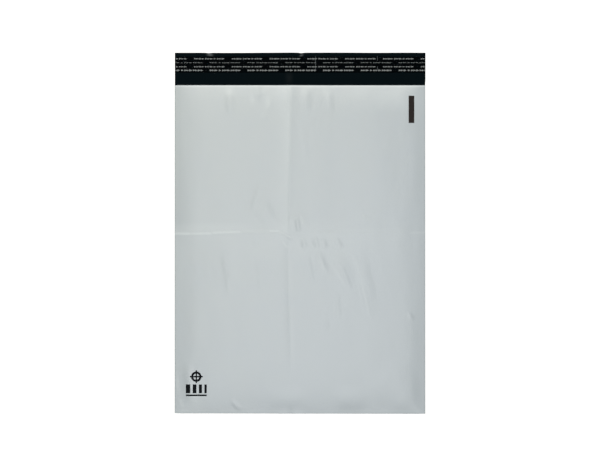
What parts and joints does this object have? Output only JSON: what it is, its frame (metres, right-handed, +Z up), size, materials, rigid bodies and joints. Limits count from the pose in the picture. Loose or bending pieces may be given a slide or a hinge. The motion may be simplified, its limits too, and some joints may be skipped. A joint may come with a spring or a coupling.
{
  "type": "poly mailer",
  "caption": "Flat grey postal bag of folded and side-welded film, black inside, with an open mouth and a long sealing lip that carries adhesive under a release liner.",
  "frame": {"origin": "on the table, under the middle of the bag's outline", "axes": "+Y up the bag from its bottom fold to its sealing lip, +X across it to the right, +Z up through the front wall; the bag lies on its back"},
  "size_m": [0.3682, 0.5294, 0.0036],
  "materials": {
    "film": "satin co-extruded polythene, pale grey outside and black inside",
    "hot_melt": "tacky pressure-sensitive adhesive",
    "liner": "thin clear release film"
  },
  "bodies": {
    "root": {"film_bag": "film", "adhesive_strip": "hot_melt", "release_liner": "liner"}
  },
  "joints": []
}
